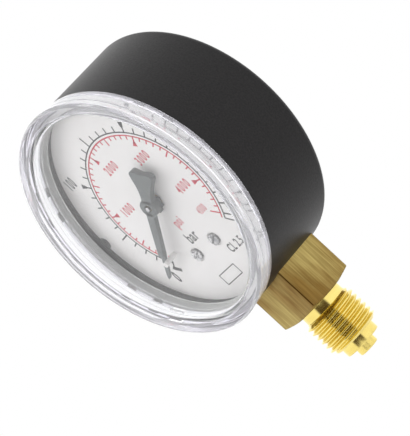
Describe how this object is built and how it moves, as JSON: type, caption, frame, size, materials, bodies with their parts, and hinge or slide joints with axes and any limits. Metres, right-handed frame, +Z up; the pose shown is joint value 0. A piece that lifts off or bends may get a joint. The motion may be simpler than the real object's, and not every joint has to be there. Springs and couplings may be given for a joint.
{
  "type": "pressure gauge",
  "caption": "Round dial pressure gauge with a clear window, a pointer driven by a coiled Bourdon tube, and a threaded brass stem at the bottom.",
  "frame": {"origin": "on the stem's axis, at the middle of the connection thread", "axes": "+Z up along the stem towards the dial, -Y the way the dial faces, +X to the reader's right"},
  "size_m": [0.062, 0.0284, 0.0869],
  "materials": {
    "case_plastic": "fine matt texture, as moulded",
    "window_plastic": "crystal-clear moulded plastic",
    "dial_plastic": "matt white, printed black and red",
    "pointer_plastic": "matt dark grey",
    "socket_brass": "drawn flats, bright turned thread",
    "movement_brass": "stamped and turned",
    "steel": "turned",
    "tube_bronze": "drawn and coiled",
    "spring_bronze": "rolled strip"
  },
  "bodies": {
    "housing": {"case": "case_plastic", "window": "window_plastic", "dial": "dial_plastic", "dial_screws": "steel", "bourdon_tube": "tube_bronze", "socket": "socket_brass", "movement_front_plate": "movement_brass", "movement_back_plate": "movement_brass", "movement_pillars": "movement_brass", "plate_screws": "steel", "dial_spacers": "movement_brass", "carrier_screws": "steel", "case_screws": "steel", "hairspring": "spring_bronze", "hairspring_stud": "movement_brass"},
    "pointer_shaft": {"pointer": "pointer_plastic", "pointer_bush": "movement_brass", "pinion_arbor": "steel", "hairspring_collet": "movement_brass"},
    "sector": {"sector_gear": "movement_brass", "sector_arbor": "steel", "sector_link_pin": "steel"},
    "tube_tip": {"tube_end": "movement_brass", "tube_link_pin": "steel"},
    "link": {"link": "movement_brass"}
  },
  "joints": [
    {"name": "pointer_turn", "type": "hinge", "parent": "housing", "child": "pointer_shaft", "pos_m": [0, 0, 0.0473], "axis": [0, 1, 0], "range_deg": [0, 266.5], "stiffness_Nm_per_rad": 0.00002, "springref_deg": -22.92, "deforming": ["hairspring"]},
    {"name": "sector_swing", "type": "hinge", "parent": "housing", "child": "sector", "pos_m": [0.01344, 0, 0.05273], "axis": [0, -1, 0], "range_deg": [0, 38.07]},
    {"name": "tube_end_swing", "type": "hinge", "parent": "housing", "child": "tube_tip", "pos_m": [0, 0, 0.0473], "axis": [0, -1, 0], "range_deg": [0, 6.7], "deforming": ["bourdon_tube"]},
    {"name": "link_swing", "type": "hinge", "parent": "tube_tip", "child": "link", "pos_m": [0.01188, 0, 0.06096], "axis": [0, -1, 0], "range_deg": [0, 3.69]}
  ],
  "couplings": [
    {"joint": "sector_swing", "follows": "pointer_turn", "ratio": 0.14286},
    {"joint": "tube_end_swing", "follows": "pointer_turn", "ratio": 0.025122},
    {"joint": "link_swing", "follows": "pointer_turn", "ratio": 0.013853}
  ]
}
